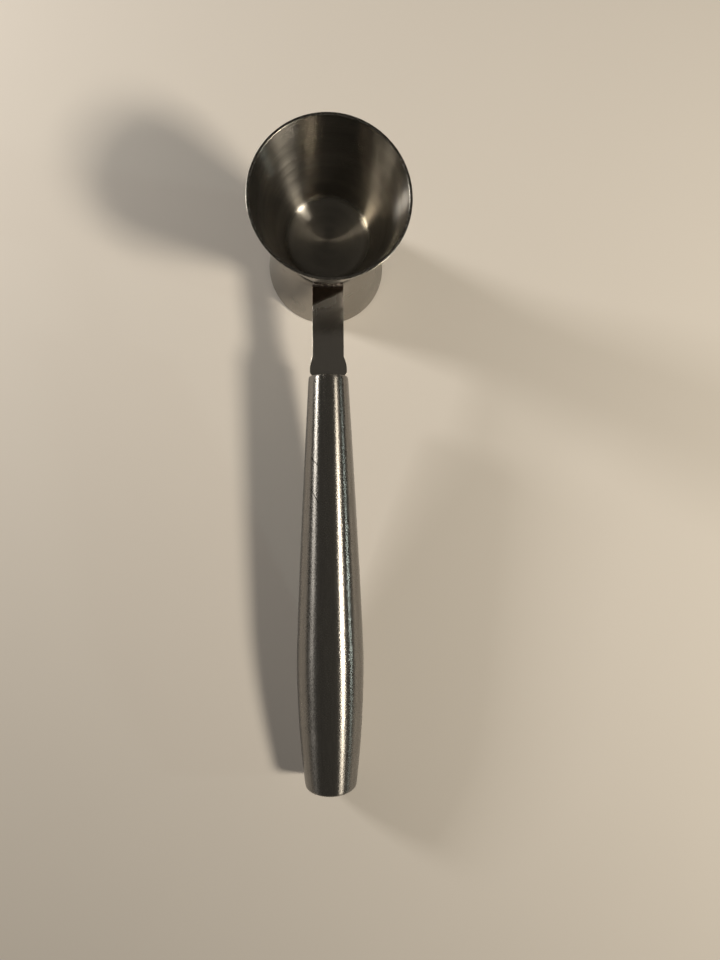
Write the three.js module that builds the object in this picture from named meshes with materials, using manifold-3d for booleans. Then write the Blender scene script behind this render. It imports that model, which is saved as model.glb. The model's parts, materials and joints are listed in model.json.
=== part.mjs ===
// A double jigger with a handle: two conical steel measuring cups set base to base, a flat bar
// welded to the waist between them, and a hollow swelling handle on the bar's tang.
// Millimetres, +Z up. It lies as it rests on a table: the lower cup's rim and the handle's far end
// touch the plane Z = 0, and the handle points towards -Y.

import * as THREE from 'three';
import { mergeVertices } from 'three/addons/utils/BufferGeometryUtils.js';
import Module from 'manifold-3d';

const wasm = await Module();
wasm.setup();

// Fit between pieces that touch
const SEAT_GAP = 0.3;

// Cups
const MOUTH_RADIUS = 21.85; // outer radius of the upper cup's rim
const UPPER_HEIGHT = 33.5; // upper cup, from its base to its rim
const FOOT_RADIUS = 19.9; // outer radius of the lower cup's rim
const LOWER_HEIGHT = 25.5; // lower cup, from its rim to its base
const BASE_RADIUS = 13.4; // outer radius of both cups where wall and base meet
const BASE_FILLET = 3.4; // outer rounding between wall and base
const CUP_WALL = 0.8;
const RIM_ROUND = 0.2; // rounding on both edges of a rim's ground land
const WAIST_BEAD = 1.6; // radius of the weld bead round the waist

// Bar
const BAR_WIDTH = 9.7;
const BAR_THICKNESS = 1.6;
const NECK_BEAD = 0.8; // radius of the weld beads across the bar's inner end
const SHOULDER_WIDTH = 11.6;
const SHOULDER_LENGTH = 5.9;
const SHOULDER_FLARE = 3.85; // length over which the neck widens to the shoulders
const SHOULDER_CORNER = 1.15; // rounding of the shoulders' rear corners
const TANG_WIDTH = 6.8;
const TANG_LENGTH = 25.0;

// Handle
const HANDLE_FRONT = 42.2; // handle's front face, from the cups' axis
const FRONT_RADIUS = 6.22;
const SWELL_LENGTH = 89.2; // from the front face to the thickest place
const SWELL_RADIUS = 10.58;
const SWELL_POWER = 1.2; // 1 is a straight taper up to the thickest place
const TAIL_LENGTH = 39.5; // from the thickest place to the rounded end
const TAIL_RADIUS = 8.2; // where the end's rounding starts
const TAIL_POWER = 2.0; // higher keeps the tail fuller
const END_ROUND = 1.25;
const FRONT_ROUND = 1.0; // along the axis; across, it takes a share of the wall
const FRONT_SHARE = 0.6;
const HANDLE_WALL = 0.8;
const PLUG_LENGTH = 4.0;

// Facets
const CUP_SEGMENTS = 64;
const HANDLE_SEGMENTS = 40;
const BEAD_SEGMENTS = 10;
const ARC_DENSITY = 3; // steps of a rounding grow with the root of its radius
const BAR_STEPS = 5; // in each curve of the bar's outline

const arcSteps = (radius) => Math.ceil(ARC_DENSITY * Math.sqrt(radius));

const steel = (color, roughness) => new THREE.MeshStandardMaterial({ color, roughness, metalness: 1 });

// Profiles: points of (radius, height) with corners that can be rounded

const corner = (r, z, round = 0) => ({ at: new THREE.Vector2(r, z), round });

function roundedCorner(before, at, after, round) {
  const back = before.clone().sub(at);
  const ahead = after.clone().sub(at);
  const room = Math.min(back.length(), ahead.length()) / 2;
  back.normalize();
  ahead.normalize();
  const half = Math.acos(THREE.MathUtils.clamp(back.dot(ahead), -1, 1)) / 2;
  const run = Math.min(round / Math.tan(half), room);
  const radius = run * Math.tan(half);
  const inward = back.clone().add(ahead).normalize();
  const centre = at.clone().addScaledVector(inward, radius / Math.sin(half));
  const start = at.clone().addScaledVector(back, run).sub(centre);
  const end = at.clone().addScaledVector(ahead, run).sub(centre);
  const turn = Math.atan2(start.cross(end), start.dot(end));
  const steps = arcSteps(radius);
  return Array.from({ length: steps + 1 }, (_, i) =>
    start.clone().rotateAround(new THREE.Vector2(), (turn * i) / steps).add(centre));
}

function roundedProfile(corners) {
  return corners.flatMap(({ at, round }, i) =>
    round > 0 ? roundedCorner(corners[i - 1].at, at, corners[i + 1].at, round) : [at]);
}

// Solids: a flat facet, and not an edge, faces the side of the handle, so that a rim rests on two points

function turned(points, segments) {
  return new THREE.LatheGeometry(points, segments, Math.PI / segments);
}

function manifoldOf(geometry) {
  const bare = geometry.clone();
  bare.deleteAttribute('normal');
  bare.deleteAttribute('uv');
  const merged = mergeVertices(bare, 1e-4);
  const index = merged.index.array;
  const triangles = [];
  for (let i = 0; i < index.length; i += 3) {
    const [a, b, c] = index.slice(i, i + 3);
    if (a !== b && b !== c && c !== a) triangles.push(a, b, c);
  }
  return new wasm.Manifold(new wasm.Mesh({
    numProp: 3,
    vertProperties: new Float32Array(merged.attributes.position.array),
    triVerts: new Uint32Array(triangles),
  }));
}

function geometryOf(solid) {
  const { vertProperties, triVerts } = solid.getMesh();
  const geometry = new THREE.BufferGeometry();
  geometry.setAttribute('position', new THREE.BufferAttribute(vertProperties, 3));
  geometry.setIndex(new THREE.BufferAttribute(triVerts, 1));
  geometry.computeVertexNormals();
  return geometry;
}

function cut(geometry, ...tools) {
  return geometryOf(tools.reduce((rest, tool) => rest.subtract(manifoldOf(tool)), manifoldOf(geometry)));
}

function join(first, second) {
  return geometryOf(manifoldOf(first).add(manifoldOf(second)));
}

function mesh(name, geometry, material) {
  const piece = new THREE.Mesh(geometry, material);
  piece.name = name;
  return piece;
}

// Cups: each is drawn mouth up, with its base on z = 0

const lean = (rimRadius, height) => Math.atan2(rimRadius - BASE_RADIUS, height);

function cupGeometry(rimRadius, height) {
  const angle = lean(rimRadius, height);
  const across = CUP_WALL / Math.cos(angle);
  const floorRadius = BASE_RADIUS + CUP_WALL * Math.tan(angle) - across;
  const profile = roundedProfile([
    corner(0, 0),
    corner(BASE_RADIUS, 0, BASE_FILLET),
    corner(rimRadius, height, RIM_ROUND),
    corner(rimRadius - across, height, RIM_ROUND),
    corner(floorRadius, CUP_WALL, BASE_FILLET - CUP_WALL),
    corner(0, CUP_WALL),
  ]);
  return turned(profile, CUP_SEGMENTS).rotateX(Math.PI / 2);
}

// The cup's outer form as a full body, larger by the seat gap: the space that a weld leaves free
function cupClearance(rimRadius, height) {
  const angle = lean(rimRadius, height);
  const slope = Math.tan(angle);
  const across = SEAT_GAP / Math.cos(angle);
  const top = height + SEAT_GAP;
  const profile = roundedProfile([
    corner(0, -SEAT_GAP),
    corner(BASE_RADIUS + across - SEAT_GAP * slope, -SEAT_GAP, BASE_FILLET + SEAT_GAP),
    corner(BASE_RADIUS + across + top * slope, top),
    corner(0, top),
  ]);
  return turned(profile, CUP_SEGMENTS).rotateX(Math.PI / 2);
}

const UPPER_BASE = LOWER_HEIGHT + SEAT_GAP;

const upperClearance = () => cupClearance(MOUTH_RADIUS, UPPER_HEIGHT).translate(0, 0, UPPER_BASE);
const lowerClearance = () =>
  cupClearance(FOOT_RADIUS, LOWER_HEIGHT).rotateX(Math.PI).translate(0, 0, LOWER_HEIGHT);

function makeCups() {
  const upper = mesh('upper_cup', cupGeometry(MOUTH_RADIUS, UPPER_HEIGHT), steel(0x8f8a83, 0.3));
  upper.position.z = UPPER_BASE;
  const lower = mesh('lower_cup', cupGeometry(FOOT_RADIUS, LOWER_HEIGHT), steel(0x97928a, 0.22));
  lower.rotation.x = Math.PI;
  lower.position.z = LOWER_HEIGHT;
  return [upper, lower];
}

// The waist's weld is a ring in the groove between the cups
const WAIST_LEVEL = LOWER_HEIGHT + SEAT_GAP / 2;
const WAIST_MIDDLE = BASE_RADIUS - WAIST_BEAD * 0.75;

function waistRing(spare) {
  const ring = new THREE.TorusGeometry(WAIST_MIDDLE, WAIST_BEAD + spare, BEAD_SEGMENTS, CUP_SEGMENTS);
  return ring.rotateZ(Math.PI / CUP_SEGMENTS).translate(0, 0, WAIST_LEVEL);
}

function makeWaistWeld() {
  return mesh('waist_weld', cut(waistRing(0), upperClearance(), lowerClearance()), steel(0x8b867e, 0.35));
}

// Bar: a flat strip level with the waist, drawn in rows of a distance from the cups' axis towards the
// handle and a half width; its inner end is cut round to the waist's weld

const BAR_HEIGHT = WAIST_LEVEL; // middle of the bar, and the handle's axis
const BAR_START = WAIST_MIDDLE + WAIST_BEAD + SEAT_GAP;
const BAR_END = HANDLE_FRONT - SEAT_GAP;

const quarter = (share) => Math.sqrt(Math.max(0, 1 - (1 - share) ** 2));

function barRows(spare) {
  const steps = Array.from({ length: BAR_STEPS + 1 }, (_, i) => i / BAR_STEPS);
  const neck = BAR_WIDTH / 2;
  const shoulder = SHOULDER_WIDTH / 2;
  const rows = [];
  const add = (distance, halfWidth) => rows.push({ distance, halfWidth: halfWidth + spare });
  add(BAR_START / 2, neck);
  for (const share of steps) {
    const widening = (shoulder - neck) * Math.sin((share * Math.PI) / 2);
    add(BAR_END - SHOULDER_LENGTH + SHOULDER_FLARE * share, neck + widening);
  }
  for (const share of steps) {
    const missing = SHOULDER_CORNER * (1 - quarter(1 - share));
    add(BAR_END - SHOULDER_CORNER * (1 - share), shoulder - missing);
  }
  return rows;
}

function stripGeometry(spare) {
  const rows = barRows(spare);
  const half = BAR_THICKNESS / 2 + spare;
  const positions = [];
  for (const { distance, halfWidth } of rows) {
    for (const [side, over] of [[-1, 1], [1, 1], [1, -1], [-1, -1]]) {
      positions.push(side * halfWidth, -distance, BAR_HEIGHT + over * half);
    }
  }
  const index = [0, 1, 2, 0, 2, 3];
  for (let row = 0; row + 1 < rows.length; row += 1) {
    for (let i = 0; i < 4; i += 1) {
      const a = 4 * row + i;
      const b = 4 * row + ((i + 1) % 4);
      index.push(a, a + 4, b, b, a + 4, b + 4);
    }
  }
  const last = 4 * (rows.length - 1);
  index.push(last, last + 2, last + 1, last, last + 3, last + 2);
  const geometry = new THREE.BufferGeometry();
  geometry.setAttribute('position', new THREE.Float32BufferAttribute(positions, 3));
  geometry.setIndex(index);
  return geometry;
}

function barGeometry(spare) {
  const reach = BAR_THICKNESS + spare;
  const hub = turned([
    new THREE.Vector2(0, -reach),
    new THREE.Vector2(BAR_START - spare, -reach),
    new THREE.Vector2(BAR_START - spare, reach),
    new THREE.Vector2(0, reach),
  ], CUP_SEGMENTS).rotateX(Math.PI / 2).translate(0, 0, BAR_HEIGHT);
  return cut(stripGeometry(spare), hub);
}

const tangGeometry = (spare) => {
  const root = SHOULDER_LENGTH / 2;
  const tang = new THREE.BoxGeometry(TANG_WIDTH + 2 * spare, root + TANG_LENGTH, BAR_THICKNESS + 2 * spare);
  return tang.translate(0, -(BAR_END - root + (root + TANG_LENGTH) / 2), BAR_HEIGHT);
};

const makeBar = () => mesh('handle_bar', join(barGeometry(0), tangGeometry(0)), steel(0x6f6962, 0.18));

// A bead across the bar's inner end, in the corner between the bar and a cup: above it or below it
function makeNeckWeld(name, side) {
  const straight = Math.max(BAR_WIDTH - 2 * NECK_BEAD, SEAT_GAP);
  const bead = new THREE.CapsuleGeometry(NECK_BEAD, straight, BEAD_SEGMENTS / 2, BEAD_SEGMENTS);
  const level = BAR_HEIGHT + side * (BAR_THICKNESS / 2 + SEAT_GAP);
  bead.rotateZ(Math.PI / 2).translate(0, -BAR_START, level);
  const left = cut(bead, upperClearance(), lowerClearance(), waistRing(SEAT_GAP), barGeometry(SEAT_GAP));
  return mesh(name, left, steel(0x8b867e, 0.4));
}

// Handle: drawn along its own axis, from the front face to the far end

const OUTER_STEPS = [10, 8]; // along the swell and along the tail
const INNER_STEPS = [4, 4];
const TAIL_SLOPE = Math.atan((TAIL_POWER * (SWELL_RADIUS - TAIL_RADIUS)) / TAIL_LENGTH);

function swellRadius(along) {
  return FRONT_RADIUS + (SWELL_RADIUS - FRONT_RADIUS) * (1 - (1 - along / SWELL_LENGTH) ** SWELL_POWER);
}

function tailRadius(along) {
  return SWELL_RADIUS - (SWELL_RADIUS - TAIL_RADIUS) * (along / TAIL_LENGTH) ** TAIL_POWER;
}

// Outer surface, moved in by a wall's thickness, from just behind the front edge to the end's middle
function handleSkin(inset, [swellSteps, tailSteps]) {
  const points = [];
  for (let i = 1; i < swellSteps; i += 1) {
    const along = (SWELL_LENGTH * i) / swellSteps;
    points.push(new THREE.Vector2(swellRadius(along) - inset, along));
  }
  for (let i = 0; i < tailSteps; i += 1) {
    const along = (TAIL_LENGTH * i) / tailSteps;
    points.push(new THREE.Vector2(tailRadius(along) - inset, SWELL_LENGTH + along));
  }
  const round = END_ROUND - inset;
  const centre = new THREE.Vector2(TAIL_RADIUS - END_ROUND * Math.cos(TAIL_SLOPE),
    SWELL_LENGTH + TAIL_LENGTH - END_ROUND * Math.sin(TAIL_SLOPE));
  const endSteps = arcSteps(END_ROUND);
  for (let i = 0; i <= endSteps; i += 1) {
    const angle = TAIL_SLOPE + ((Math.PI / 2 - TAIL_SLOPE) * i) / endSteps;
    points.push(new THREE.Vector2(centre.x + round * Math.cos(angle), centre.y + round * Math.sin(angle)));
  }
  points.push(new THREE.Vector2(0, centre.y + round));
  return points;
}

function placeOnAxis(geometry) {
  return geometry.rotateX(Math.PI).translate(0, -HANDLE_FRONT, BAR_HEIGHT);
}

function makeShell() {
  const outer = handleSkin(0, OUTER_STEPS);
  const inner = handleSkin(HANDLE_WALL, INNER_STEPS).reverse();
  const front = [new THREE.Vector2(FRONT_RADIUS - HANDLE_WALL, 0)];
  const steps = arcSteps(FRONT_ROUND);
  for (let i = 0; i <= steps; i += 1) {
    const along = FRONT_ROUND * (1 - Math.cos((Math.PI * i) / (2 * steps)));
    const missing = FRONT_SHARE * HANDLE_WALL * (1 - Math.sin((Math.PI * i) / (2 * steps)));
    front.push(new THREE.Vector2(swellRadius(along) - missing, along));
  }
  const shell = turned([...inner, ...front, ...outer], HANDLE_SEGMENTS);
  return mesh('handle_shell', placeOnAxis(shell), steel(0x8a857e, 0.28));
}

function makePlug() {
  const clear = HANDLE_WALL + SEAT_GAP;
  const disc = turned([
    new THREE.Vector2(0, 0),
    new THREE.Vector2(swellRadius(0) - clear, 0),
    new THREE.Vector2(swellRadius(PLUG_LENGTH) - clear, PLUG_LENGTH),
    new THREE.Vector2(0, PLUG_LENGTH),
  ], HANDLE_SEGMENTS);
  return mesh('handle_plug', cut(placeOnAxis(disc), tangGeometry(SEAT_GAP)), steel(0x7d7871, 0.4));
}

// Rest on the table: turn the jigger towards the handle until rim and handle are equally low

function restAngle() {
  const flat = Math.cos(Math.PI / HANDLE_SEGMENTS);
  const rim = FOOT_RADIUS * Math.cos(Math.PI / CUP_SEGMENTS);
  const angles = handleSkin(0, OUTER_STEPS).map(({ x: radius, y: along }) =>
    Math.atan2(BAR_HEIGHT - radius * flat, HANDLE_FRONT + along - rim));
  return Math.min(...angles);
}

const jigger = new THREE.Group();
jigger.add(...makeCups());
jigger.add(makeWaistWeld());
jigger.add(makeBar());
jigger.add(makeNeckWeld('neck_weld_top', 1));
jigger.add(makeNeckWeld('neck_weld_under', -1));
jigger.add(makeShell());
jigger.add(makePlug());
jigger.rotation.x = restAngle();

// Origin: under the middle of the jigger, on the table
const bounds = new THREE.Box3().setFromObject(jigger, true);
const middle = bounds.getCenter(new THREE.Vector3());
jigger.position.set(-middle.x, -middle.y, -bounds.min.z);

const part = new THREE.Group();
part.add(jigger);

export default part;
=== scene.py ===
"""Double jigger with a handle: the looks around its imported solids.

Two conical steel cups stand base to base, a flat bar is welded to the waist between them, and a
hollow swelling handle sits on the bar's tang. Each piece is modelled in the jigger's own axes: the
cups' axis is Z, the lower cup's rim lies at Z = 0 and the handle points towards -Y. LIE lays them
on the floor.
"""

import json
import math

import bmesh
import bpy
from bpy.props import FloatProperty, FloatVectorProperty, PointerProperty
from mathutils import Matrix, Vector


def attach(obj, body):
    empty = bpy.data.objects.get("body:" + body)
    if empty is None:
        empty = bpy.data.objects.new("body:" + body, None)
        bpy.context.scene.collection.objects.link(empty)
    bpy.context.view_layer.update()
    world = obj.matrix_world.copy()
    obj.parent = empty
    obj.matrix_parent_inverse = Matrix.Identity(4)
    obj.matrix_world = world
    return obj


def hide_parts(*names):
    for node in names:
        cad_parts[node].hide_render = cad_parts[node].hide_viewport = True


bl_info = {
    "name": "Double Jigger",
    "version": (1, 0, 0),
    "blender": (4, 5, 0),
    "location": "View3D > Sidebar > Jigger",
    "description": "Builds a steel double jigger with a handle, its finishes and its stage",
    "category": "Add Mesh",
}

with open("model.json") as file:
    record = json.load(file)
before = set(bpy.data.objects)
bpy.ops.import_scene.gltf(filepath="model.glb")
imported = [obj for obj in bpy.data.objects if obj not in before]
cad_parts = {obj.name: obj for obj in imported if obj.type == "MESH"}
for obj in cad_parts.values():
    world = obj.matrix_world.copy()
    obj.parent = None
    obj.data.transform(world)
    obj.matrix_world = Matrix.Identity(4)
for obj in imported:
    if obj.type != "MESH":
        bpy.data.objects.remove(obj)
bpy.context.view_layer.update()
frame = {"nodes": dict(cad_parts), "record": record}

# How the jigger lies: the foot's rim and the handle's far end touch the floor

FOOT_RIM = next(m for m in frame["record"]["mounts"] if m["name"] == "foot_rim")
LEAN = math.atan2(FOOT_RIM["axis"][1], -FOOT_RIM["axis"][2])
FOOT_MIDDLE = Vector((0.0, FOOT_RIM["pos_m"][1], FOOT_RIM["pos_m"][2]))
LIE = Matrix.Translation(FOOT_MIDDLE) @ Matrix.Rotation(LEAN, 4, "X")

# Steps of the round forms

CUP_STEPS = 192
HANDLE_STEPS = 160
ROUNDING_STEPS = 6
EDGE_STEPS = 3
SHOULDER_STEPS = 8
BEAD_STEPS = 20
FLOOR_STEPS = 96

# Longest edge of a cup's section, and how near points are merged, in metres

LONGEST_EDGE = 0.0015
TOUCHING = 1e-7

# Weight of large faces when normals are evened out

FLATS_WEIGHT = 60


# Sizes and colours that a user can change


def length(name, text, default):
    """A size in metres."""
    return FloatProperty(
        name=name, description=text, default=default, min=0.0, precision=5, unit="LENGTH"
    )


def colour(name, text, default):
    """A linear colour."""
    return FloatVectorProperty(
        name=name, description=text, default=default, size=3, min=0.0, max=1.0, subtype="COLOR"
    )


def amount(name, text, default, top=1.0):
    """A share or a strength."""
    return FloatProperty(name=name, description=text, default=default, min=0.0, max=top)


class JiggerCupSizes(bpy.types.PropertyGroup):
    """Sizes of both cups and of the weld between them."""

    mouth_radius: length("Mouth radius", "Outer radius of the upper cup's rim", 0.02185)
    upper_height: length("Upper height", "Upper cup, from its base to its rim", 0.0335)
    foot_radius: length("Foot radius", "Outer radius of the lower cup's rim", 0.0199)
    lower_height: length("Lower height", "Lower cup, from its rim to its base", 0.0255)
    base_radius: length("Base radius", "Where wall and base of a cup meet", 0.0134)
    base_fillet: length("Base fillet", "Outer rounding between wall and base", 0.0034)
    wall: length("Wall", "Thickness of the sheet", 0.0008)
    floor_dish: length("Floor dish", "Rise of a cup's floor from middle to wall", 0.00135)
    rim_round: length("Rim round", "Rounding on both edges of a rim", 0.00015)
    seat_gap: length("Seat gap", "Between the two bases, and between bar and handle", 0.0003)
    waist_bead: length("Waist bead", "Height of the weld round the waist", 0.0026)


class JiggerBarSizes(bpy.types.PropertyGroup):
    """Sizes of the flat bar and of the welds across its inner end."""

    width: length("Width", "Width of the neck", 0.0097)
    thickness: length("Thickness", "Thickness of the bar", 0.0016)
    start: length("Start", "Inner end of the bar, from the cups' axis", 0.0136)
    bead_radius: length("Bead radius", "Radius of the welds across the inner end", 0.001)
    bead_length: length("Bead length", "Length of the welds across the inner end", 0.0094)
    shoulder_width: length("Shoulder width", "Width at the handle's front", 0.0116)
    shoulder_length: length("Shoulder length", "Length of the shoulders with their flare", 0.0059)
    shoulder_flare: length("Shoulder flare", "Length over which the neck widens", 0.00385)
    shoulder_corner: length("Shoulder corner", "Rounding of the rear corners", 0.00115)
    edge_break: length("Edge break", "Rounding of the bar's long edges", 0.00022)


class JiggerHandleSizes(bpy.types.PropertyGroup):
    """Sizes of the hollow handle."""

    front: length("Front", "Handle's front face, from the cups' axis", 0.0422)
    front_radius: length("Front radius", "Radius at the front face", 0.00622)
    swell_length: length("Swell length", "From the front face to the thickest place", 0.0892)
    swell_radius: length("Swell radius", "Radius at the thickest place", 0.01058)
    swell_power: amount("Swell power", "1 is a straight taper to the thickest place", 1.2, 4.0)
    tail_length: length("Tail length", "From the thickest place to the rounded end", 0.0395)
    tail_radius: length("Tail radius", "Where the end's rounding starts", 0.0082)
    tail_power: amount("Tail power", "Higher keeps the tail fuller", 2.0, 6.0)
    end_round: length("End round", "Rounding of the far end", 0.00125)
    front_round: length("Front round", "Length of the front edge's easing", 0.001)
    wall: length("Wall", "Thickness of the sheet", 0.0008)


class JiggerFinish(bpy.types.PropertyGroup):
    """Colours of the steel and of the floor."""

    cup_steel: colour("Cup steel", "Steel of both cups", (0.45, 0.427, 0.393))
    bar_steel: colour("Bar steel", "Polished steel of the bar", (0.74, 0.70, 0.66))
    handle_steel: colour("Handle steel", "Brushed steel of the handle", (0.26, 0.248, 0.236))
    # Heat tint beside the welds, darker as a painted reflection of the dark weld
    heat_tint_and_reflection: colour("Heat tint", "Bar beside its welds", (0.30, 0.22, 0.17))
    weld_steel: colour("Weld steel", "Dressed welds", (0.13, 0.112, 0.10))
    plug_steel: colour("Plug steel", "Plug in the handle's front", (0.20, 0.19, 0.175))
    floor: colour("Floor", "Plain pale floor", (0.71, 0.665, 0.625))


class JiggerStage(bpy.types.PropertyGroup):
    """Lamps over the floor and light of the room."""

    key_power: amount("Key power", "Lamp on the right, in watts", 3.1, 1000.0)
    key_colour: colour("Key colour", "Colour of the lamp on the right", (1.0, 0.905, 0.74))
    fill_power: amount("Fill power", "Lamp on the left, in watts", 2.05, 1000.0)
    fill_colour: colour("Fill colour", "Colour of the lamp on the left", (1.0, 0.955, 0.87))
    glint_power: amount("Glint power", "Small low lamp on the right, in watts", 0.4, 1000.0)
    glint_colour: colour("Glint colour", "Colour of the small lamp", (0.86, 1.0, 0.93))
    room: colour("Room", "Dim light from overhead", (0.052, 0.048, 0.041))


class JiggerSettings(bpy.types.PropertyGroup):
    """All settings of the jigger."""

    cups: PointerProperty(type=JiggerCupSizes)
    bar: PointerProperty(type=JiggerBarSizes)
    handle: PointerProperty(type=JiggerHandleSizes)
    finish: PointerProperty(type=JiggerFinish)
    stage: PointerProperty(type=JiggerStage)


# Mesh work


def section_of(bm, corners):
    """A wire section in the XZ plane with (radius, height, rounding) corners, which it rounds."""
    verts = [bm.verts.new((r, 0.0, z)) for r, z, _ in corners]
    for a, b in zip(verts, verts[1:]):
        bm.edges.new((a, b))
    runs = []
    for i, (_, _, rounding) in enumerate(corners):
        if rounding:
            back = (verts[i - 1].co - verts[i].co).normalized()
            ahead = (verts[i + 1].co - verts[i].co).normalized()
            runs.append((verts[i], rounding / math.tan(back.angle(ahead) / 2)))
    for vert, run in runs:
        bmesh.ops.bevel(
            bm,
            geom=[vert],
            offset=run,
            offset_type="OFFSET",
            affect="VERTICES",
            segments=ROUNDING_STEPS,
            profile=0.5,
            material=-1,
        )


def part_long_edges(bm, longest):
    """Divides the section's edges that are longer than that."""
    for edge in list(bm.edges):
        cuts = int(edge.calc_length() / longest)
        if cuts:
            bmesh.ops.subdivide_edges(bm, edges=[edge], cuts=cuts)


def spin_round(bm, steps):
    """Turns the wire section once round Z."""
    bmesh.ops.spin(
        bm,
        geom=bm.verts[:] + bm.edges[:],
        cent=(0, 0, 0),
        axis=(0, 0, 1),
        angle=2 * math.pi,
        steps=steps,
        use_merge=True,
    )
    bmesh.ops.remove_doubles(bm, verts=bm.verts[:], dist=TOUCHING)
    bmesh.ops.recalc_face_normals(bm, faces=bm.faces[:])


def wrap_round(bm):
    """UV map of a spun piece: U goes once round Z, V follows radius and height in centimetres."""
    layer = bm.loops.layers.uv.new("Round")
    for face in bm.faces:
        middle = face.calc_center_median()
        turn = math.atan2(middle.y, middle.x)
        for loop in face.loops:
            x, y, z = loop.vert.co
            radius = math.hypot(x, y)
            angle = math.atan2(y, x) if radius > TOUCHING else turn
            angle += 2 * math.pi * round((turn - angle) / (2 * math.pi))
            loop[layer].uv = (angle / (2 * math.pi), (z + radius) * 100)


def finish_piece(bm, name, materials, node, place=Matrix.Identity(4)):
    """Lays the piece on the floor and lets it stand for its CAD node."""
    bmesh.ops.transform(bm, matrix=LIE @ place, verts=bm.verts[:])
    for face in bm.faces:
        face.smooth = True
    mesh = bpy.data.meshes.new(name)
    bm.to_mesh(mesh)
    bm.free()
    for material in materials:
        mesh.materials.append(material)
    piece = bpy.data.objects.new(name, mesh)
    bpy.context.scene.collection.objects.link(piece)
    normals = piece.modifiers.new("Even flats", "WEIGHTED_NORMAL")
    normals.weight = FLATS_WEIGHT
    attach(piece, "root")
    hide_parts(node)


# Node groups shared by the finishes

# Rings of the bands for each ring of the grooves
BAND_SHARE = 0.11

# Parts of the noises that show as smudges and as scratches
SMUDGE_RANGE = (0.42, 0.68)
SCRATCH_RANGE = (0.74, 0.82)

# Two sets of scratches as (turn in radians, shift), and their scale, drawn out along Y
SCRATCH_SETS = ((0.35, 0.0), (-0.9, 3.7))
SCRATCH_SCALE = (1.0, 0.018, 1.0)

# Where a nick starts to show and where it is full, in half widths
NICK_EDGE = (1.2, 0.5)


def new_group(name, inputs, outputs):
    """An empty shader group with its sockets. Each input is (name, socket type, default)."""
    group = bpy.data.node_groups.new(name, "ShaderNodeTree")
    for label, kind, default in inputs:
        socket = group.interface.new_socket(label, in_out="INPUT", socket_type=kind)
        if default is not None:
            socket.default_value = default
    for label, kind in outputs:
        group.interface.new_socket(label, in_out="OUTPUT", socket_type=kind)
    return group


def add(tree, kind, links=(), **settings):
    """A node with its settings, and links given as (input, socket) pairs; plain values are set."""
    made = tree.nodes.new(kind)
    for key, value in settings.items():
        setattr(made, key, value)
    for key, value in links:
        if isinstance(value, bpy.types.NodeSocket):
            tree.links.new(value, made.inputs[key])
        else:
            made.inputs[key].default_value = value
    return made


def math_node(tree, operation, a, b=0.0, clamp=False):
    """One Math node's output."""
    return add(
        tree, "ShaderNodeMath", [(0, a), (1, b)], operation=operation, use_clamp=clamp
    ).outputs[0]


def vector_node(tree, operation, a, b=None, scale=None):
    """One Vector Math node."""
    links = [(0, a)]
    if b is not None:
        links.append((1, b))
    if scale is not None:
        links.append(("Scale", scale))
    return add(tree, "ShaderNodeVectorMath", links, operation=operation)


def spread(tree, value, low, high, to_low=0.0, to_high=1.0):
    """A value's range moved to another, with soft ends."""
    return add(
        tree,
        "ShaderNodeMapRange",
        [
            ("Value", value),
            ("From Min", low),
            ("From Max", high),
            ("To Min", to_low),
            ("To Max", to_high),
        ],
        interpolation_type="SMOOTHSTEP",
    ).outputs["Result"]


def spun_grooves():
    """Rings that a spinning tool or a brushing wheel leaves round Z of the coordinates."""
    name = "Spun grooves"
    if name in bpy.data.node_groups:
        return bpy.data.node_groups[name]
    group = new_group(
        name,
        [
            ("Vector", "NodeSocketVector", None),
            ("Fineness", "NodeSocketFloat", 4000.0),
            ("Breaks", "NodeSocketFloat", 6.0),
        ],
        [("Grooves", "NodeSocketFloat"), ("Bands", "NodeSocketFloat")],
    )
    come = group.nodes.new("NodeGroupInput")
    leave = group.nodes.new("NodeGroupOutput")
    parts = add(group, "ShaderNodeSeparateXYZ", [(0, come.outputs["Vector"])])
    flat = add(
        group, "ShaderNodeCombineXYZ", [(0, parts.outputs[0]), (1, parts.outputs[1])]
    ).outputs[0]
    radius = vector_node(group, "LENGTH", flat).outputs["Value"]
    around = vector_node(group, "NORMALIZE", flat).outputs[0]
    around = vector_node(group, "SCALE", around, scale=come.outputs["Breaks"]).outputs[0]
    along = math_node(group, "ADD", parts.outputs[2], radius)
    along = math_node(group, "MULTIPLY", along, come.outputs["Fineness"])
    lift = add(group, "ShaderNodeCombineXYZ", [(2, along)]).outputs[0]
    place = vector_node(group, "ADD", around, lift).outputs[0]
    fine = add(
        group,
        "ShaderNodeTexNoise",
        [("Vector", place), ("Scale", 1.0), ("Detail", 3.0), ("Roughness", 0.6)],
    )
    slow = math_node(group, "MULTIPLY", along, BAND_SHARE)
    slow = add(group, "ShaderNodeCombineXYZ", [(2, slow)]).outputs[0]
    slow = vector_node(group, "ADD", around, slow).outputs[0]
    broad = add(
        group,
        "ShaderNodeTexNoise",
        [("Vector", slow), ("Scale", 1.0), ("Detail", 2.0), ("Roughness", 0.5)],
    )
    group.links.new(fine.outputs["Fac"], leave.inputs["Grooves"])
    group.links.new(broad.outputs["Fac"], leave.inputs["Bands"])
    return group


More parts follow.
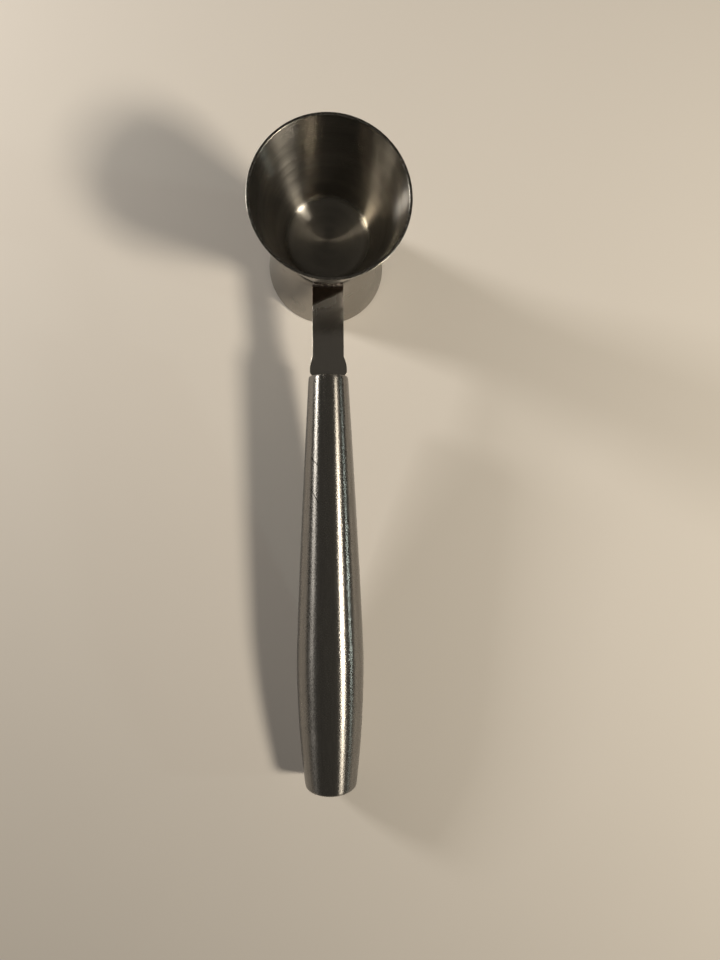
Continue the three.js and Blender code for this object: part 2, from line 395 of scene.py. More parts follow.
def handling_marks():
    """Smudges from hands and short fine scratches."""
    name = "Handling marks"
    if name in bpy.data.node_groups:
        return bpy.data.node_groups[name]
    group = new_group(
        name,
        [
            ("Vector", "NodeSocketVector", None),
            ("Smudge size", "NodeSocketFloat", 0.02),
            ("Scratch width", "NodeSocketFloat", 0.0002),
        ],
        [("Smudge", "NodeSocketFloat"), ("Scratches", "NodeSocketFloat")],
    )
    come = group.nodes.new("NodeGroupInput")
    leave = group.nodes.new("NodeGroupOutput")
    per_smudge = math_node(group, "DIVIDE", 1.0, come.outputs["Smudge size"])
    cloud = add(
        group,
        "ShaderNodeTexNoise",
        [
            ("Vector", come.outputs["Vector"]),
            ("Scale", per_smudge),
            ("Detail", 4.0),
            ("Roughness", 0.55),
            ("Distortion", 0.6),
        ],
    )
    smudge = spread(group, cloud.outputs["Fac"], *SMUDGE_RANGE)
    per_scratch = math_node(group, "DIVIDE", 1.0, come.outputs["Scratch width"])
    total = None
    for turn, shift in SCRATCH_SETS:
        turned = add(
            group,
            "ShaderNodeMapping",
            [
                ("Vector", come.outputs["Vector"]),
                ("Location", (shift, shift, shift)),
                ("Rotation", (turn, 0.5 * turn, turn)),
                ("Scale", SCRATCH_SCALE),
            ],
        ).outputs[0]
        lines = add(
            group,
            "ShaderNodeTexNoise",
            [("Vector", turned), ("Scale", per_scratch), ("Detail", 0.0)],
        )
        mask = spread(group, lines.outputs["Fac"], *SCRATCH_RANGE)
        total = mask if total is None else math_node(group, "MAXIMUM", total, mask)
    group.links.new(smudge, leave.inputs["Smudge"])
    group.links.new(total, leave.inputs["Scratches"])
    return group


def nick():
    """A short straight nick from one point to another."""
    name = "Nick"
    if name in bpy.data.node_groups:
        return bpy.data.node_groups[name]
    group = new_group(
        name,
        [
            ("Vector", "NodeSocketVector", None),
            ("Start", "NodeSocketVector", (0.0, 0.0, 0.0)),
            ("Stop", "NodeSocketVector", (0.0, 0.0, 0.01)),
            ("Half width", "NodeSocketFloat", 0.0002),
        ],
        [("Mask", "NodeSocketFloat")],
    )
    come = group.nodes.new("NodeGroupInput")
    leave = group.nodes.new("NodeGroupOutput")
    line = vector_node(group, "SUBTRACT", come.outputs["Stop"], come.outputs["Start"]).outputs[0]
    here = vector_node(group, "SUBTRACT", come.outputs["Vector"], come.outputs["Start"]).outputs[0]
    over = vector_node(group, "DOT_PRODUCT", here, line).outputs["Value"]
    whole = vector_node(group, "DOT_PRODUCT", line, line).outputs["Value"]
    share = math_node(group, "DIVIDE", over, whole, clamp=True)
    foot = vector_node(group, "SCALE", line, scale=share).outputs[0]
    off = vector_node(group, "DISTANCE", here, foot).outputs["Value"]
    off = math_node(group, "DIVIDE", off, come.outputs["Half width"])
    group.links.new(spread(group, off, *NICK_EDGE), leave.inputs["Mask"])
    return group


# Finishes

# Usual ranges of the groups' noises
GROOVE_RANGE = (0.3, 0.7)
BAND_RANGE = (0.35, 0.65)

# From the tangent round a spun piece to the way that its grooves draw lights out, in turns
GRAIN_TURN = 0.25

# Colour sockets of a Mix node: both inputs and the output
MIX_BELOW, MIX_ABOVE, MIX_RESULT = 6, 7, 2


def own_axes(tree, place=Matrix.Identity(4)):
    """Object coordinates turned into a piece's own axes, with Z along its spinning axis."""
    back = (LIE @ place).inverted()
    coords = tree.nodes.new("ShaderNodeTexCoord")
    return add(
        tree,
        "ShaderNodeMapping",
        [
            ("Vector", coords.outputs["Object"]),
            ("Location", back.translation),
            ("Rotation", back.to_euler("XYZ")),
        ],
    ).outputs[0]


def new_steel(name, anisotropy=0.0, metallic=1.0):
    """A bare metal material with its node tree and its shader. Anisotropy runs round the piece."""
    material = bpy.data.materials.new(name)
    material.use_nodes = True
    tree = material.node_tree
    shader = tree.nodes["Principled BSDF"]
    shader.inputs["Metallic"].default_value = metallic
    if anisotropy:
        shader.inputs["Anisotropic"].default_value = anisotropy
        shader.inputs["Anisotropic Rotation"].default_value = GRAIN_TURN
        tangent = add(tree, "ShaderNodeTangent", direction_type="UV_MAP", uv_map="Round")
        tree.links.new(tangent.outputs[0], shader.inputs["Tangent"])
    return material, tree, shader


def rings_on(tree, axes, fineness, breaks):
    """Outputs of spun grooves: rings in a metre, and how often they break on the way round."""
    return add(
        tree,
        "ShaderNodeGroup",
        [("Vector", axes), ("Fineness", fineness), ("Breaks", breaks)],
        node_tree=spun_grooves(),
    ).outputs


def marks_on(tree, axes, smudge_size, scratch_width=0.0002):
    """Outputs of handling marks of these sizes in metres."""
    return add(
        tree,
        "ShaderNodeGroup",
        [("Vector", axes), ("Smudge size", smudge_size), ("Scratch width", scratch_width)],
        node_tree=handling_marks(),
    ).outputs


def blended(tree, mask, below, above):
    """One colour over another by a mask; each is a socket or a value."""
    return add(
        tree,
        "ShaderNodeMix",
        [("Factor", mask), (MIX_BELOW, below), (MIX_ABOVE, above)],
        data_type="RGBA",
    ).outputs[MIX_RESULT]


def shade(tint, factor=1.0):
    """A darker or lighter tint of a colour, opaque."""
    return (*(min(1.0, c * factor) for c in tint), 1.0)


def shades(tree, mask, tint, low, high):
    """A colour between two shades of a tint, by a mask."""
    return blended(tree, mask, shade(tint, low), shade(tint, high))


def plus_share(tree, value, mask, share):
    """A value with a share of a mask added."""
    return math_node(tree, "ADD", value, math_node(tree, "MULTIPLY", mask, share))


def dress(tree, shader, tone, rough):
    """Links a colour and a roughness to the shader."""
    tree.links.new(tone, shader.inputs["Base Color"])
    tree.links.new(rough, shader.inputs["Roughness"])


def bumped(tree, shader, height, depth):
    """A height map on the shader's normal, in metres of depth."""
    links = [("Height", height), ("Distance", depth), ("Strength", 1.0)]
    bump = add(tree, "ShaderNodeBump", links)
    tree.links.new(bump.outputs[0], shader.inputs["Normal"])


def spun_inside(finish, cups):
    """Inside of a cup: rings from spinning, so lights draw out into streaks across them."""
    material, tree, shader = new_steel("Spun inside", anisotropy=1.0, metallic=0.97)
    axes = own_axes(tree)
    rings = rings_on(tree, axes, fineness=2000.0, breaks=0.4)
    marks = marks_on(tree, axes, smudge_size=0.012)
    bands = spread(tree, rings["Bands"], *BAND_RANGE)
    tone = shades(tree, bands, finish.cup_steel, low=0.88, high=1.05)

    # The floor is rougher than the wall
    height = add(tree, "ShaderNodeSeparateXYZ", [(0, axes)]).outputs[2]
    off = math_node(tree, "ABSOLUTE", math_node(tree, "SUBTRACT", height, waist_level(cups)))
    wall_start = cups.wall + cups.floor_dish + cups.base_fillet / 2
    rough = spread(tree, off, cups.wall, wall_start, to_low=0.34, to_high=0.225)
    grooves = spread(tree, rings["Grooves"], *GROOVE_RANGE, to_low=-0.022, to_high=0.022)
    rough = math_node(tree, "ADD", rough, grooves)
    rough = plus_share(tree, rough, marks["Smudge"], share=0.015)
    dress(tree, shader, tone, rough)
    bumped(tree, shader, rings["Grooves"], depth=0.00004)
    return material


def polished_outside(finish):
    """Outside of a cup: polished after spinning, faint rings and smudges left."""
    material, tree, shader = new_steel("Polished outside", anisotropy=0.7)
    axes = own_axes(tree)
    rings = rings_on(tree, axes, fineness=2200.0, breaks=2.0)
    marks = marks_on(tree, axes, smudge_size=0.014)
    tone = shades(tree, marks["Smudge"], finish.cup_steel, low=0.79, high=0.73)
    rough = spread(tree, marks["Smudge"], 0.0, 1.0, to_low=0.26, to_high=0.29)
    rough = plus_share(tree, rough, marks["Scratches"], share=0.1)
    dress(tree, shader, tone, rough)
    bumped(tree, shader, rings["Grooves"], depth=0.000004)
    return material


def ground_rim(finish):
    """Ground and polished land of a rim."""
    material, tree, shader = new_steel("Ground rim")
    rings = rings_on(tree, own_axes(tree), fineness=9000.0, breaks=14.0)
    bands = spread(tree, rings["Bands"], *BAND_RANGE)
    tone = shades(tree, bands, finish.cup_steel, low=0.7, high=0.95)
    rough = spread(tree, rings["Grooves"], *GROOVE_RANGE, to_low=0.2, to_high=0.3)
    dress(tree, shader, tone, rough)
    bumped(tree, shader, rings["Grooves"], depth=0.000006)
    return material


# The bar's fine lines: how many in a metre across, along and through it
BAR_GRAIN = (2600.0, 60.0, 2600.0)

# Beside its weld the bar is darkened, heat tint with a painted dark reflection of the weld, then
# dressed: where each is full and where it ends, from the bar's inner end, and the slope of both
# across the bar
WEDGE_FULL, WEDGE_END = 0.0035, 0.0047
DRESSED_FULL, DRESSED_END = 0.0045, 0.015
WEDGE_SLANT = 0.45


def polished_bar(finish, bar):
    """Rolled and polished flat bar: nearly a mirror; beside its weld heat tint with a painted dark
    reflection, then duller.
    """
    material, tree, shader = new_steel("Polished bar")
    axes = own_axes(tree)
    marks = marks_on(tree, axes, smudge_size=0.006, scratch_width=0.00016)
    stretched = add(tree, "ShaderNodeMapping", [("Vector", axes), ("Scale", BAR_GRAIN)]).outputs[0]
    grain = add(
        tree, "ShaderNodeTexNoise", [("Vector", stretched), ("Scale", 1.0), ("Detail", 2.0)]
    )
    parts = add(tree, "ShaderNodeSeparateXYZ", [(0, axes)])
    slant = math_node(tree, "MULTIPLY", parts.outputs[0], WEDGE_SLANT)
    near = math_node(tree, "SUBTRACT", parts.outputs[1], slant)
    # Heat tint with a painted dark reflection of the weld, slanted across the bar
    dark_wedge = spread(tree, near, -bar.start - WEDGE_END, -bar.start - WEDGE_FULL)
    dressed = spread(tree, near, -bar.start - DRESSED_END, -bar.start - DRESSED_FULL)
    dressed = math_node(tree, "SUBTRACT", dressed, dark_wedge, clamp=True)
    tone = shades(tree, marks["Smudge"], finish.bar_steel, low=1.03, high=0.94)
    tone = blended(tree, dark_wedge, tone, shade(finish.heat_tint_and_reflection))
    rough = spread(tree, marks["Smudge"], 0.0, 1.0, to_low=0.15, to_high=0.18)
    rough = plus_share(tree, rough, marks["Scratches"], share=0.04)
    rough = plus_share(tree, rough, dressed, share=0.12)
    dress(tree, shader, tone, rough)
    bumped(tree, shader, grain.outputs["Fac"], depth=0.000001)
    return material


HANDLE_NICKS = (
    # start and stop as (degrees from the top, along the handle in metres), and half width
    ((-45.5, 0.0255), (-29.0, 0.0277), 0.00016),
    ((-42.0, 0.0354), (-33.0, 0.0373), 0.00018),
    ((-33.0, 0.0373), (-24.5, 0.0393), 0.00016),
)
NICK_TONE = (0.03, 0.028, 0.026)


def nicks_on(tree, axes, sizes):
    """All nicks of the handle in one mask."""
    worn = None
    for start, stop, half_width in HANDLE_NICKS:
        ends = []
        for degrees, along in (start, stop):
            radius = swell_radius(sizes, along)
            turn = math.radians(degrees)
            ends.append((radius * math.sin(turn), radius * math.cos(turn), along))
        mark = add(
            tree,
            "ShaderNodeGroup",
            [("Vector", axes), ("Start", ends[0]), ("Stop", ends[1]), ("Half width", half_width)],
            node_tree=nick(),
        ).outputs["Mask"]
        worn = mark if worn is None else math_node(tree, "MAXIMUM", worn, mark)
    return worn


def brushed_handle(finish, sizes, place):
    """Handle brushed round its axis: lights run out into long streaks with ragged sides."""
    material, tree, shader = new_steel("Brushed handle", anisotropy=0.95, metallic=0.91)
    axes = own_axes(tree, place)
    rings = rings_on(tree, axes, fineness=1800.0, breaks=18.0)
    marks = marks_on(tree, axes, smudge_size=0.02)
    bands = spread(tree, rings["Bands"], *GROOVE_RANGE)
    tone = shades(tree, bands, finish.handle_steel, low=0.92, high=1.05)
    tone = blended(tree, nicks_on(tree, axes, sizes), tone, shade(NICK_TONE))
    rough = spread(tree, rings["Grooves"], *GROOVE_RANGE, to_low=0.25, to_high=0.32)
    rough = plus_share(tree, rough, marks["Smudge"], share=0.03)
    dress(tree, shader, tone, rough)
    bumped(tree, shader, rings["Grooves"], depth=0.000032)
    return material


def dressed_weld(finish):
    """Weld metal, wire brushed and left a little dull."""
    material, tree, shader = new_steel("Dressed weld")
    marks = marks_on(tree, own_axes(tree), smudge_size=0.0012)
    tone = shades(tree, marks["Smudge"], finish.weld_steel, low=1.3, high=0.35)
    rough = spread(tree, marks["Smudge"], 0.0, 1.0, to_low=0.34, to_high=0.5)
    dress(tree, shader, tone, rough)
    bumped(tree, shader, marks["Smudge"], depth=0.0001)
    return material


def plug_face(finish):
    """Turned face of the plug in the handle's front."""
    material, tree, shader = new_steel("Plug face")
    marks = marks_on(tree, own_axes(tree), smudge_size=0.003)
    tone = shades(tree, marks["Smudge"], finish.plug_steel, low=1.1, high=0.7)
    rough = spread(tree, marks["Smudge"], 0.0, 1.0, to_low=0.4, to_high=0.52)
    dress(tree, shader, tone, rough)
    return material


# Painted light: the floor grows paler towards the back over this distance either way, with specks
# of this strength. Between two radii it fades to a share of its colour, a painted shade far off
FLOOR_LIGHT_REACH = 0.32
FLOOR_SPECK = 0.03
FLOOR_SHADE_RADII = (0.25, 0.46)
FLOOR_SHADE = 0.22


def pale_floor(finish):
    """Plain pale floor with painted light, paler behind the cups than before the handle, and
    painted shade far off.
    """
    material = bpy.data.materials.new("Pale floor")
    material.use_nodes = True
    tree = material.node_tree
    shader = tree.nodes["Principled BSDF"]
    here = tree.nodes.new("ShaderNodeTexCoord").outputs["Object"]
    mottle = add(tree, "ShaderNodeTexNoise", [("Vector", here), ("Scale", 25.0), ("Detail", 5.0)])
    parts = add(tree, "ShaderNodeSeparateXYZ", [(0, here)])
    # Painted light: paler towards the back
    depth = spread(tree, parts.outputs[1], -FLOOR_LIGHT_REACH, FLOOR_LIGHT_REACH)
    speck = math_node(tree, "MULTIPLY", mottle.outputs["Fac"], FLOOR_SPECK)
    depth = math_node(tree, "ADD", depth, speck, clamp=True)
    tone = shades(tree, depth, finish.floor, low=0.69, high=1.31)
    # Painted shade: darker far off
    off = vector_node(tree, "LENGTH", here).outputs["Value"]
    far_shade = spread(tree, off, *FLOOR_SHADE_RADII)
    tone = blended(tree, far_shade, tone, shade(finish.floor, FLOOR_SHADE))
    tree.links.new(tone, shader.inputs["Base Color"])
    shader.inputs["Roughness"].default_value = 0.75
    shader.inputs["Specular IOR Level"].default_value = 0.25
    return material


# Cups

# Rings of a dished floor, as shares of its radius
DISH_RINGS = (0.82, 0.7, 0.6, 0.5, 0.4, 0.3, 0.2, 0.1, 0.0)

# Places of a cup's finishes among its materials
INSIDE, OUTSIDE, RIM = range(3)

# How far down the rim's finish reaches, in roundings of the rim
RIM_REACH = 1.5

# How far a face has to turn towards the axis or upwards to lie inside
FACING_IN = 0.02
FACING_UP = 0.5

# Section of the waist weld: its edges lie inside the base radius by a share of the base fillet;
# its crown and the crown's rounding are shares of half its height
WAIST_INSET = 0.3
WAIST_CROWN = 0.45
WAIST_ROUNDING = 1.4


def waist_level(cups):
    """Height of the groove between the cups: the bar's middle and the handle's axis lie there."""
    return cups.lower_height + cups.seat_gap / 2


def cup_section(sizes, rim_radius, height):
    """Corners of a cup's section, base on Z = 0 and mouth up."""
    lean = math.atan2(rim_radius - sizes.base_radius, height)
    across = sizes.wall / math.cos(lean)
    edge = sizes.wall + sizes.floor_dish
    floor_radius = sizes.base_radius + edge * math.tan(lean) - across
    dish = []
    for share in DISH_RINGS:
        dish.append((floor_radius * share, sizes.wall + sizes.floor_dish * share**2, 0.0))
    return [
        (0.0, 0.0, 0.0),
        (sizes.base_radius, 0.0, sizes.base_fillet),
        (rim_radius, height, sizes.rim_round),
        (rim_radius - across, height, sizes.rim_round),
        (floor_radius, edge, sizes.base_fillet - sizes.wall),
        *dish,
    ]


def spun_cup(sizes, rim_radius, height):
    """A cup's mesh, mouth up, with its finishes on inside, outside and rim."""
    bm = bmesh.new()
    section_of(bm, cup_section(sizes, rim_radius, height))
    part_long_edges(bm, LONGEST_EDGE)
    spin_round(bm, CUP_STEPS)
    wrap_round(bm)
    for face in bm.faces:
        middle = face.calc_center_median()
        inward = -Vector((middle.x, middle.y, 0.0)).normalized()
        if middle.z > height - sizes.rim_round * RIM_REACH:
            face.material_index = RIM
        elif face.normal.dot(inward) > FACING_IN or face.normal.z > FACING_UP:
            face.material_index = INSIDE
        else:
            face.material_index = OUTSIDE
    return bm


class JIGGER_OT_cups(bpy.types.Operator):
    """Spin both cups and set them base to base"""

    bl_idname = "jigger.cups"
    bl_label = "Spin Cups"

    def execute(self, context):
        settings = context.scene.jigger
        sizes = settings.cups
        finishes = [
            spun_inside(settings.finish, sizes),
            polished_outside(settings.finish),
            ground_rim(settings.finish),
        ]
        upper = spun_cup(sizes, sizes.mouth_radius, sizes.upper_height)
        lift = Matrix.Translation((0, 0, sizes.lower_height + sizes.seat_gap))
        finish_piece(upper, "spun_upper_cup", finishes, "upper_cup", lift)
        lower = spun_cup(sizes, sizes.foot_radius, sizes.lower_height)
        over = Matrix.Translation((0, 0, sizes.lower_height)) @ Matrix.Rotation(math.pi, 4, "X")
        finish_piece(lower, "spun_lower_cup", finishes, "lower_cup", over)
        return {"FINISHED"}


class JIGGER_OT_waist_weld(bpy.types.Operator):
    """Lay the ring of weld into the groove between the two bases"""

    bl_idname = "jigger.waist_weld"
    bl_label = "Lay Waist Weld"

    def execute(self, context):
        settings = context.scene.jigger
        sizes = settings.cups
        half = sizes.waist_bead / 2
        middle = waist_level(sizes)
        root = sizes.base_radius - sizes.base_fillet
        face = sizes.base_radius - sizes.base_fillet * WAIST_INSET
        bm = bmesh.new()
        section_of(
            bm,
            [
                (root, middle, 0.0),
                (face, middle - half, 0.0),
                (face + half * WAIST_CROWN, middle, half * WAIST_ROUNDING),
                (face, middle + half, 0.0),
                (root, middle, 0.0),
            ],
        )
        bmesh.ops.remove_doubles(bm, verts=bm.verts[:], dist=TOUCHING)
        spin_round(bm, CUP_STEPS)
        wrap_round(bm)
        weld = dressed_weld(settings.finish)
        finish_piece(bm, "waist_bead", [weld], "waist_weld")
        return {"FINISHED"}


# Bar

# Corners of the bar's section as (across, up)
BAR_CORNERS = ((-1, 1), (1, 1), (1, -1), (-1, -1))

# Edges that turn by more than this are rounded
SHARP_EDGE = math.radians(35)

# A bead's ripples, the size of the dips between them and the size of its first end
RIPPLES = 15
RIPPLE_DIP = 0.95
BEAD_TIP = 0.35

# A bead swells along its length like this stretch of half a wave, to this power
SWELL_START = 0.11
SWELL_SPAN = 0.78
SWELL_POWER = 0.35


def draw_out(bm, cap, shift, widen=1.0, inner=False):
    """Extrudes an end face by a shift and widens it. An inner face it grew from is removed."""
    grown = bmesh.ops.extrude_face_region(bm, geom=[cap])
    end = next(g for g in grown["geom"] if isinstance(g, bmesh.types.BMFace))
    bmesh.ops.translate(bm, vec=shift, verts=end.verts[:])
    bmesh.ops.scale(bm, vec=(widen, 1, 1), verts=end.verts[:])
    if inner:
        bmesh.ops.delete(bm, geom=[cap], context="FACES_ONLY")
    return end


class JIGGER_OT_bar(bpy.types.Operator):
    """Draw the flat bar from the waist to its shoulders at the handle"""

    bl_idname = "jigger.bar"
    bl_label = "Draw Bar"

    def execute(self, context):
        settings = context.scene.jigger
        cups, bar, handle = settings.cups, settings.bar, settings.handle
        level = waist_level(cups)
        half, deep = bar.width / 2, bar.thickness / 2
        bm = bmesh.new()
        cap = bm.faces.new(
            [bm.verts.new((x * half, -bar.start, level + z * deep)) for x, z in BAR_CORNERS]
        )

        # The neck, its flare, then the rounded rear corners of the shoulders
        rear = -(handle.front - cups.seat_gap)
        flare = rear + bar.shoulder_length
        cap = draw_out(bm, cap, (0, flare + bar.start, 0))
        at = flare
        for i in range(1, SHOULDER_STEPS + 1):
            to = flare - bar.shoulder_flare * i / SHOULDER_STEPS
            grown = math.sin(math.pi / 2 * i / SHOULDER_STEPS)
            wide = bar.width / 2 + (bar.shoulder_width - bar.width) / 2 * grown
            cap = draw_out(bm, cap, (0, to - at, 0), wide / half, inner=True)
            at, half = to, wide
        for i in range(SHOULDER_STEPS + 1):
            angle = math.pi / 2 * i / SHOULDER_STEPS
            to = rear + bar.shoulder_corner * (1 - math.sin(angle))
            wide = bar.shoulder_width / 2 - bar.shoulder_corner * (1 - math.cos(angle))
            cap = draw_out(bm, cap, (0, to - at, 0), wide / half, inner=True)
            at, half = to, wide

        bmesh.ops.recalc_face_normals(bm, faces=bm.faces[:])
        sharp = [e for e in bm.edges if e.is_manifold and e.calc_face_angle() > SHARP_EDGE]
        bmesh.ops.bevel(
            bm,
            geom=sharp,
            offset=bar.edge_break,
            offset_type="OFFSET",
            affect="EDGES",
            segments=EDGE_STEPS,
            profile=0.5,
            material=-1,
            clamp_overlap=True,
        )
        steel = polished_bar(settings.finish, bar)
        finish_piece(bm, "flat_bar", [steel], "handle_bar")
        return {"FINISHED"}


class JIGGER_OT_neck_welds(bpy.types.Operator):
    """Lay the beads across the bar's inner end, above and below"""

    bl_idname = "jigger.neck_welds"
    bl_label = "Lay Neck Welds"

    def execute(self, context):
        settings = context.scene.jigger
        cups, bar = settings.cups, settings.bar
        weld = dressed_weld(settings.finish)
        steps = 2 * RIPPLES
        step = Vector((bar.bead_length / steps, 0, 0))
        turn = Matrix.Rotation(math.pi / 2, 4, "Y")
        for name, side in (("top", 1), ("under", -1)):
            bm = bmesh.new()
            start = Vector((-bar.bead_length / 2, -bar.start, 0))
            start.z = waist_level(cups) + side * bar.thickness / 2
            ring = bmesh.ops.create_circle(
                bm, cap_ends=True, segments=BEAD_STEPS, radius=bar.bead_radius * BEAD_TIP
            )
            bmesh.ops.transform(bm, matrix=Matrix.Translation(start) @ turn, verts=ring["verts"])
            cap = bm.faces[:][0]
            wide = BEAD_TIP
            for i in range(1, steps + 1):
                wave = math.sin(math.pi * (SWELL_START + SWELL_SPAN * i / steps))
                to = wave**SWELL_POWER * (1.0 if i % 2 else RIPPLE_DIP)
                end = draw_out(bm, cap, step, inner=i > 1)
                middle = end.calc_center_median()
                bmesh.ops.scale(
                    bm,
                    vec=(1, to / wide, to / wide),
                    space=Matrix.Translation(-middle),
                    verts=end.verts[:],
                )
                cap, wide = end, to
            bmesh.ops.recalc_face_normals(bm, faces=bm.faces[:])
            finish_piece(bm, f"neck_bead_{name}", [weld], f"neck_weld_{name}")
        return {"FINISHED"}


# Handle

# Steps along the swell and the tail, inside and outside, round the far end and over the front edge
INNER_STEPS = (12, 10)
OUTER_STEPS = (48, 40)
END_STEPS = 12
FRONT_STEPS = 8

# Rings of the flat end, as shares of its radius
END_RINGS = (0.8, 0.5, 0.2, 0.0)

# Share of the wall that the front edge's easing takes off
FRONT_LOSS = 0.6


def swell_radius(sizes, along):
    """Radius of the handle between its front and its thickest place."""
    rest = 1 - along / sizes.swell_length
    return sizes.front_radius + (sizes.swell_radius - sizes.front_radius) * (
        1 - rest**sizes.swell_power
    )


def tail_radius(sizes, along):
    """Radius of the handle behind its thickest place."""
    fall = (along / sizes.tail_length) ** sizes.tail_power
    return sizes.swell_radius - (sizes.swell_radius - sizes.tail_radius) * fall


def handle_skin(sizes, inset, swell_steps, tail_steps):
    """Section of the handle's skin, from behind the front edge to the middle of the end."""
    skin = []
    for i in range(1, swell_steps):
        along = sizes.swell_length * i / swell_steps
        skin.append((swell_radius(sizes, along) - inset, along, 0.0))
    for i in range(tail_steps):
        along = sizes.tail_length * i / tail_steps
        skin.append((tail_radius(sizes, along) - inset, sizes.swell_length + along, 0.0))
    slope = math.atan(
        sizes.tail_power * (sizes.swell_radius - sizes.tail_radius) / sizes.tail_length
    )
    rounding = sizes.end_round - inset
    centre_r = sizes.tail_radius - sizes.end_round * math.cos(slope)
    centre_z = sizes.swell_length + sizes.tail_length - sizes.end_round * math.sin(slope)
    for i in range(END_STEPS + 1):
        angle = slope + (math.pi / 2 - slope) * i / END_STEPS
        skin.append(
            (centre_r + rounding * math.cos(angle), centre_z + rounding * math.sin(angle), 0.0)
        )
    for share in END_RINGS:
        skin.append((centre_r * share, centre_z + rounding, 0.0))
    return skin


class JIGGER_OT_handle(bpy.types.Operator):
    """Spin the hollow handle"""

    bl_idname = "jigger.handle"
    bl_label = "Spin Handle"

    def execute(self, context):
        settings = context.scene.jigger
        sizes = settings.handle
        inner = handle_skin(sizes, sizes.wall, *INNER_STEPS)[::-1]
        outer = handle_skin(sizes, 0.0, *OUTER_STEPS)
        front = [(sizes.front_radius - sizes.wall, 0.0, 0.0)]
        for i in range(FRONT_STEPS + 1):
            angle = math.pi / 2 * i / FRONT_STEPS
            along = sizes.front_round * (1 - math.cos(angle))
            missing = FRONT_LOSS * sizes.wall * (1 - math.sin(angle))
            front.append((swell_radius(sizes, along) - missing, along, 0.0))
        bm = bmesh.new()
        section_of(bm, [*inner, *front, *outer])
        spin_round(bm, HANDLE_STEPS)
        wrap_round(bm)
        place = Matrix.Translation((0, -sizes.front, waist_level(settings.cups)))
        place @= Matrix.Rotation(math.pi / 2, 4, "X")
        steel = brushed_handle(settings.finish, sizes, place)
        finish_piece(bm, "brushed_handle", [steel], "handle_shell", place)
        return {"FINISHED"}


class JIGGER_OT_plug(bpy.types.Operator):
    """Finish the plug in the handle's front"""

    bl_idname = "jigger.plug"
    bl_label = "Finish Plug"

    def execute(self, context):
        plug = frame["nodes"]["handle_plug"]
        plug.data.materials.clear()
        plug.data.materials.append(plug_face(context.scene.jigger.finish))
        return {"FINISHED"}


# Stage

FLOOR_RADIUS = 1.6

# Places and sizes of the lamps, and the point that they face

KEY_PLACE, KEY_SIZE = (0.41, -0.2, 0.465), 0.105
FILL_PLACE, FILL_SIZE = (-0.497, 0.248, 0.215), 0.1
GLINT_PLACE, GLINT_SIZE = (0.79, -0.14, 0.26), 0.04
LAMP_AIM = Vector((0, 0.02, 0.02))

# The room's light low down, as a share, and the heights between which it grows to full

ROOM_LOW = 0.15
ROOM_RANGE = (0.1, 0.9)

# The camera, in the jigger's own axes; lens and picture width in millimetres

CAMERA_PLACE = Vector((-0.00431588, -0.07078244, 0.22779778))
CAMERA_RIGHT = Vector((0.997553, -0.005579, 0.069691))
CAMERA_DOWN = Vector((-0.006939, -0.99979, 0.019297))
CAMERA_LENS = 24.0
CAMERA_WIDTH = 36.0
CAMERA_NEAREST = 0.01


def lamp(name, place, size, power, tint):
    """A square lamp that faces the jigger."""
    data = bpy.data.lights.new(name, "AREA")
    data.shape = "SQUARE"
    data.size = size
    data.energy = power
    data.color = tint
    made = bpy.data.objects.new(name, data)
    made.location = place
    way = made.location - LAMP_AIM
    made.rotation_euler = way.to_track_quat("Z", "Y").to_euler()
    bpy.context.scene.collection.objects.link(made)


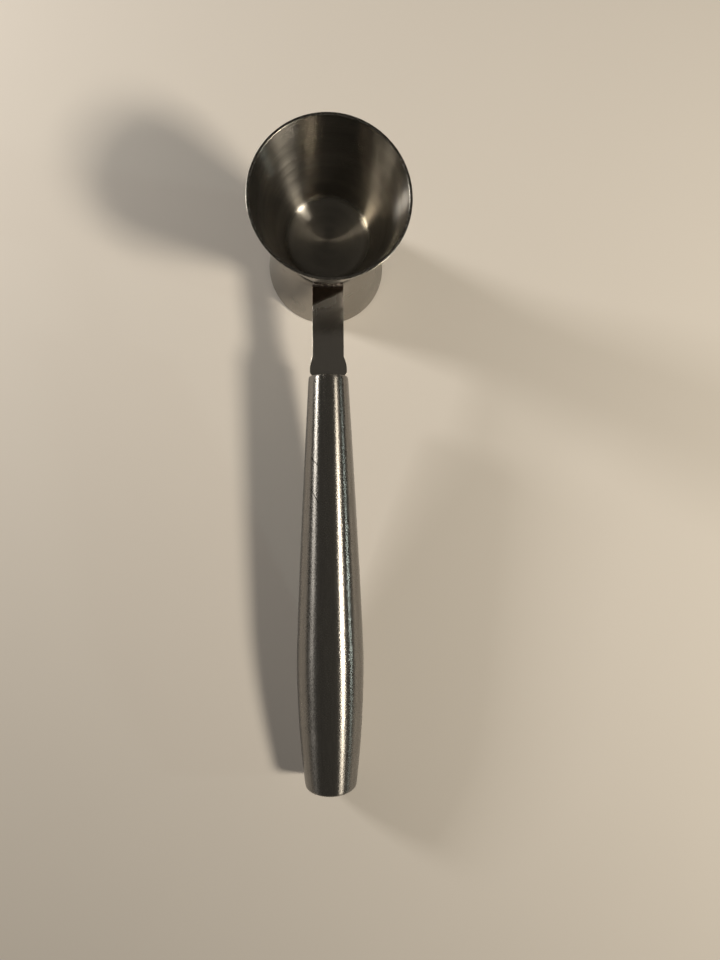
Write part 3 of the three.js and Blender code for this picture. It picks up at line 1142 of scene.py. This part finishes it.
class JIGGER_OT_stage(bpy.types.Operator):
    """Set up the floor, the lamps, the room light and the camera"""

    bl_idname = "jigger.stage"
    bl_label = "Set Up Stage"

    def execute(self, context):
        scene = context.scene
        settings = scene.jigger
        stage = settings.stage

        bm = bmesh.new()
        bmesh.ops.create_circle(bm, cap_ends=True, segments=FLOOR_STEPS, radius=FLOOR_RADIUS)
        mesh = bpy.data.meshes.new("floor")
        bm.to_mesh(mesh)
        bm.free()
        mesh.materials.append(pale_floor(settings.finish))
        floor = bpy.data.objects.new("floor", mesh)
        scene.collection.objects.link(floor)

        lamp("key", KEY_PLACE, KEY_SIZE, stage.key_power, stage.key_colour)
        lamp("fill", FILL_PLACE, FILL_SIZE, stage.fill_power, stage.fill_colour)
        lamp("glint", GLINT_PLACE, GLINT_SIZE, stage.glint_power, stage.glint_colour)

        world = bpy.data.worlds.new("room")
        world.use_nodes = True
        sky = world.node_tree
        way = sky.nodes.new("ShaderNodeTexCoord").outputs["Generated"]
        up = add(sky, "ShaderNodeSeparateXYZ", [(0, way)]).outputs[2]
        light = shades(sky, spread(sky, up, *ROOM_RANGE), stage.room, ROOM_LOW, 1.0)
        sky.links.new(light, sky.nodes["Background"].inputs["Color"])
        scene.world = world

        data = bpy.data.cameras.new("camera")
        data.lens = CAMERA_LENS
        data.sensor_width = CAMERA_WIDTH
        data.clip_start = CAMERA_NEAREST
        camera = bpy.data.objects.new("camera", data)
        right = CAMERA_RIGHT.normalized()
        back = right.cross(-CAMERA_DOWN).normalized()
        turn = Matrix((right, back.cross(right), back)).transposed()
        camera.matrix_world = LIE @ Matrix.Translation(CAMERA_PLACE) @ turn.to_4x4()
        scene.collection.objects.link(camera)
        scene.camera = camera
        scene.view_settings.view_transform = "Standard"
        return {"FINISHED"}


class JIGGER_PT_panel(bpy.types.Panel):
    """Lists the jigger's steps and settings"""

    bl_idname = "JIGGER_PT_panel"
    bl_label = "Double Jigger"
    bl_space_type = "VIEW_3D"
    bl_region_type = "UI"
    bl_category = "Jigger"

    def draw(self, context):
        settings = context.scene.jigger
        for step in STEPS:
            self.layout.operator(step.bl_idname)
        for label in ("cups", "bar", "handle", "finish", "stage"):
            box = self.layout.box()
            box.label(text=label.capitalize())
            group = getattr(settings, label)
            for key in group.__annotations__:
                box.prop(group, key)


STEPS = (
    JIGGER_OT_cups,
    JIGGER_OT_waist_weld,
    JIGGER_OT_bar,
    JIGGER_OT_neck_welds,
    JIGGER_OT_handle,
    JIGGER_OT_plug,
    JIGGER_OT_stage,
)

CLASSES = (
    JiggerCupSizes,
    JiggerBarSizes,
    JiggerHandleSizes,
    JiggerFinish,
    JiggerStage,
    JiggerSettings,
    *STEPS,
    JIGGER_PT_panel,
)


def register():
    for cls in CLASSES:
        bpy.utils.register_class(cls)
    bpy.types.Scene.jigger = PointerProperty(type=JiggerSettings)


def unregister():
    del bpy.types.Scene.jigger
    for cls in reversed(CLASSES):
        bpy.utils.unregister_class(cls)


def main():
    register()
    bpy.ops.jigger.cups()
    bpy.ops.jigger.waist_weld()
    bpy.ops.jigger.bar()
    bpy.ops.jigger.neck_welds()
    bpy.ops.jigger.handle()
    bpy.ops.jigger.plug()
    bpy.ops.jigger.stage()


if __name__ == "__main__":
    main()
